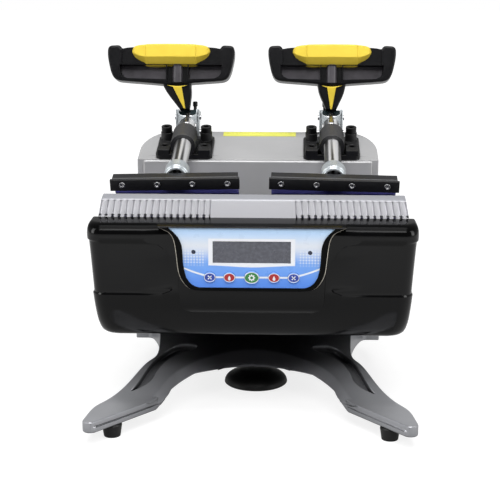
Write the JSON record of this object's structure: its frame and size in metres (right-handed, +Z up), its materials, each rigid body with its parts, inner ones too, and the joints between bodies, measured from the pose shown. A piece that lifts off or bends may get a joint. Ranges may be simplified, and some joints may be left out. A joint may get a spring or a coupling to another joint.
{
  "type": "double mug heat press",
  "caption": "Bench-top double mug heat press: splayed cast base, control casing, ribbed guard, heater mats and toggle clamps with T-handles.",
  "frame": {"origin": "centre of the suction foot on the bench", "axes": "+Z up, +X to the operator's right, -Y towards the operator"},
  "size_m": [0.3012, 0.3148, 0.3227],
  "materials": {
    "silver_paint": "satin",
    "base_paint": "satin",
    "gloss_black": "gloss",
    "film": "gloss",
    "lcd": "gloss",
    "led": "gloss",
    "key_blue": "gloss",
    "key_red": "gloss",
    "key_green": "gloss",
    "board": "satin",
    "guard": "satin",
    "silicone": "matte",
    "steel": "brushed",
    "zinc": "zinc plated",
    "cast_black": "matte",
    "chrome": "polished",
    "black_screw": "black oxide",
    "grip_yellow": "satin",
    "handle_black": "satin",
    "bar_black": "satin",
    "rubber": "matte",
    "strip_yellow": "gloss",
    "core": "matte",
    "socket_black": "satin"
  },
  "bodies": {
    "body": {"base_casting": "base_paint", "rubber_feet": "rubber", "suction_foot": "rubber", "hood_shell": "silver_paint", "hood_front_panel": "silver_paint", "deck_strip": "strip_yellow", "power_inlet": "socket_black", "switch_frame": "socket_black", "power_board": "board", "transformer": "core", "control_casing": "gloss_black", "console_bezel": "gloss_black", "panel_overlay": "film", "lcd_module": "lcd", "indicator_leds": "led", "control_board": "board", "ribbed_guard": "guard", "clamp_bolts": "black_screw", "base_pins": "steel", "heater_mat_left": "silicone", "saddle_left": "steel", "clamp_mount_left": "cast_black", "heater_mat_right": "silicone", "saddle_right": "steel", "clamp_mount_right": "cast_black"},
    "plunger_left": {"plunger_left": "chrome", "end_cup_left": "zinc", "cup_screw_left": "chrome", "clamp_bar_left": "bar_black", "clamp_strip_left": "bar_black", "strip_screws_left": "steel"},
    "lever_left": {"lever_left": "zinc", "link_pin_left": "steel", "stop_screw_left": "black_screw", "handle_left": "handle_black", "grip_left": "grip_yellow", "neck_inlay_left": "grip_yellow"},
    "link_left": {"link_left": "steel"},
    "plunger_right": {"plunger_right": "chrome", "end_cup_right": "zinc", "cup_screw_right": "chrome", "clamp_bar_right": "bar_black", "clamp_strip_right": "bar_black", "strip_screws_right": "steel"},
    "lever_right": {"lever_right": "zinc", "link_pin_right": "steel", "stop_screw_right": "black_screw", "handle_right": "handle_black", "grip_right": "grip_yellow", "neck_inlay_right": "grip_yellow"},
    "link_right": {"link_right": "steel"},
    "key_left_set": {"key_left_set": "key_blue"},
    "key_left_heat": {"key_left_heat": "key_red"},
    "key_mode": {"key_mode": "key_green"},
    "key_right_heat": {"key_right_heat": "key_red"},
    "key_right_set": {"key_right_set": "key_blue"},
    "power_rocker": {"power_rocker": "socket_black"}
  },
  "joints": [
    {"name": "lever_left_swing", "type": "hinge", "parent": "body", "child": "lever_left", "pos_m": [-0.07325, 0.10207, 0.23463], "axis": [1, 0, 0], "range_deg": [0, 58]},
    {"name": "plunger_left_slide", "type": "slide", "parent": "body", "child": "plunger_left", "axis": [0, -0.9751, -0.2215], "range_m": [0, 0.01455]},
    {"name": "link_left_pivot", "type": "hinge", "parent": "lever_left", "child": "link_left", "pos_m": [-0.07325, 0.10625, 0.24904], "axis": [1, 0, 0], "range_deg": [-58, 0]},
    {"name": "lever_right_swing", "type": "hinge", "parent": "body", "child": "lever_right", "pos_m": [0.07325, 0.10207, 0.23463], "axis": [1, 0, 0], "range_deg": [0, 58]},
    {"name": "plunger_right_slide", "type": "slide", "parent": "body", "child": "plunger_right", "axis": [0, -0.9751, -0.2215], "range_m": [0, 0.01455]},
    {"name": "link_right_pivot", "type": "hinge", "parent": "lever_right", "child": "link_right", "pos_m": [0.07325, 0.10625, 0.24904], "axis": [1, 0, 0], "range_deg": [-58, 0]},
    {"name": "key_left_set_press", "type": "slide", "parent": "body", "child": "key_left_set", "axis": [0, 1, 0], "range_m": [0, 0.0005], "stiffness_N_per_m": 1000},
    {"name": "key_left_heat_press", "type": "slide", "parent": "body", "child": "key_left_heat", "axis": [0, 1, 0], "range_m": [0, 0.0005], "stiffness_N_per_m": 1000},
    {"name": "key_mode_press", "type": "slide", "parent": "body", "child": "key_mode", "axis": [0, 1, 0], "range_m": [0, 0.0005], "stiffness_N_per_m": 1000},
    {"name": "key_right_heat_press", "type": "slide", "parent": "body", "child": "key_right_heat", "axis": [0, 1, 0], "range_m": [0, 0.0005], "stiffness_N_per_m": 1000},
    {"name": "key_right_set_press", "type": "slide", "parent": "body", "child": "key_right_set", "axis": [0, 1, 0], "range_m": [0, 0.0005], "stiffness_N_per_m": 1000},
    {"name": "power_rocker_tilt", "type": "hinge", "parent": "body", "child": "power_rocker", "pos_m": [0.045, 0.117, 0.135], "axis": [1, 0, 0], "range_deg": [0, 14]}
  ],
  "couplings": [
    {"joint": "plunger_left_slide", "follows": "lever_left_swing", "m_per_rad": 0.014366},
    {"joint": "link_left_pivot", "follows": "lever_left_swing", "ratio": -1},
    {"joint": "plunger_right_slide", "follows": "lever_right_swing", "m_per_rad": 0.014366},
    {"joint": "link_right_pivot", "follows": "lever_right_swing", "ratio": -1}
  ]
}
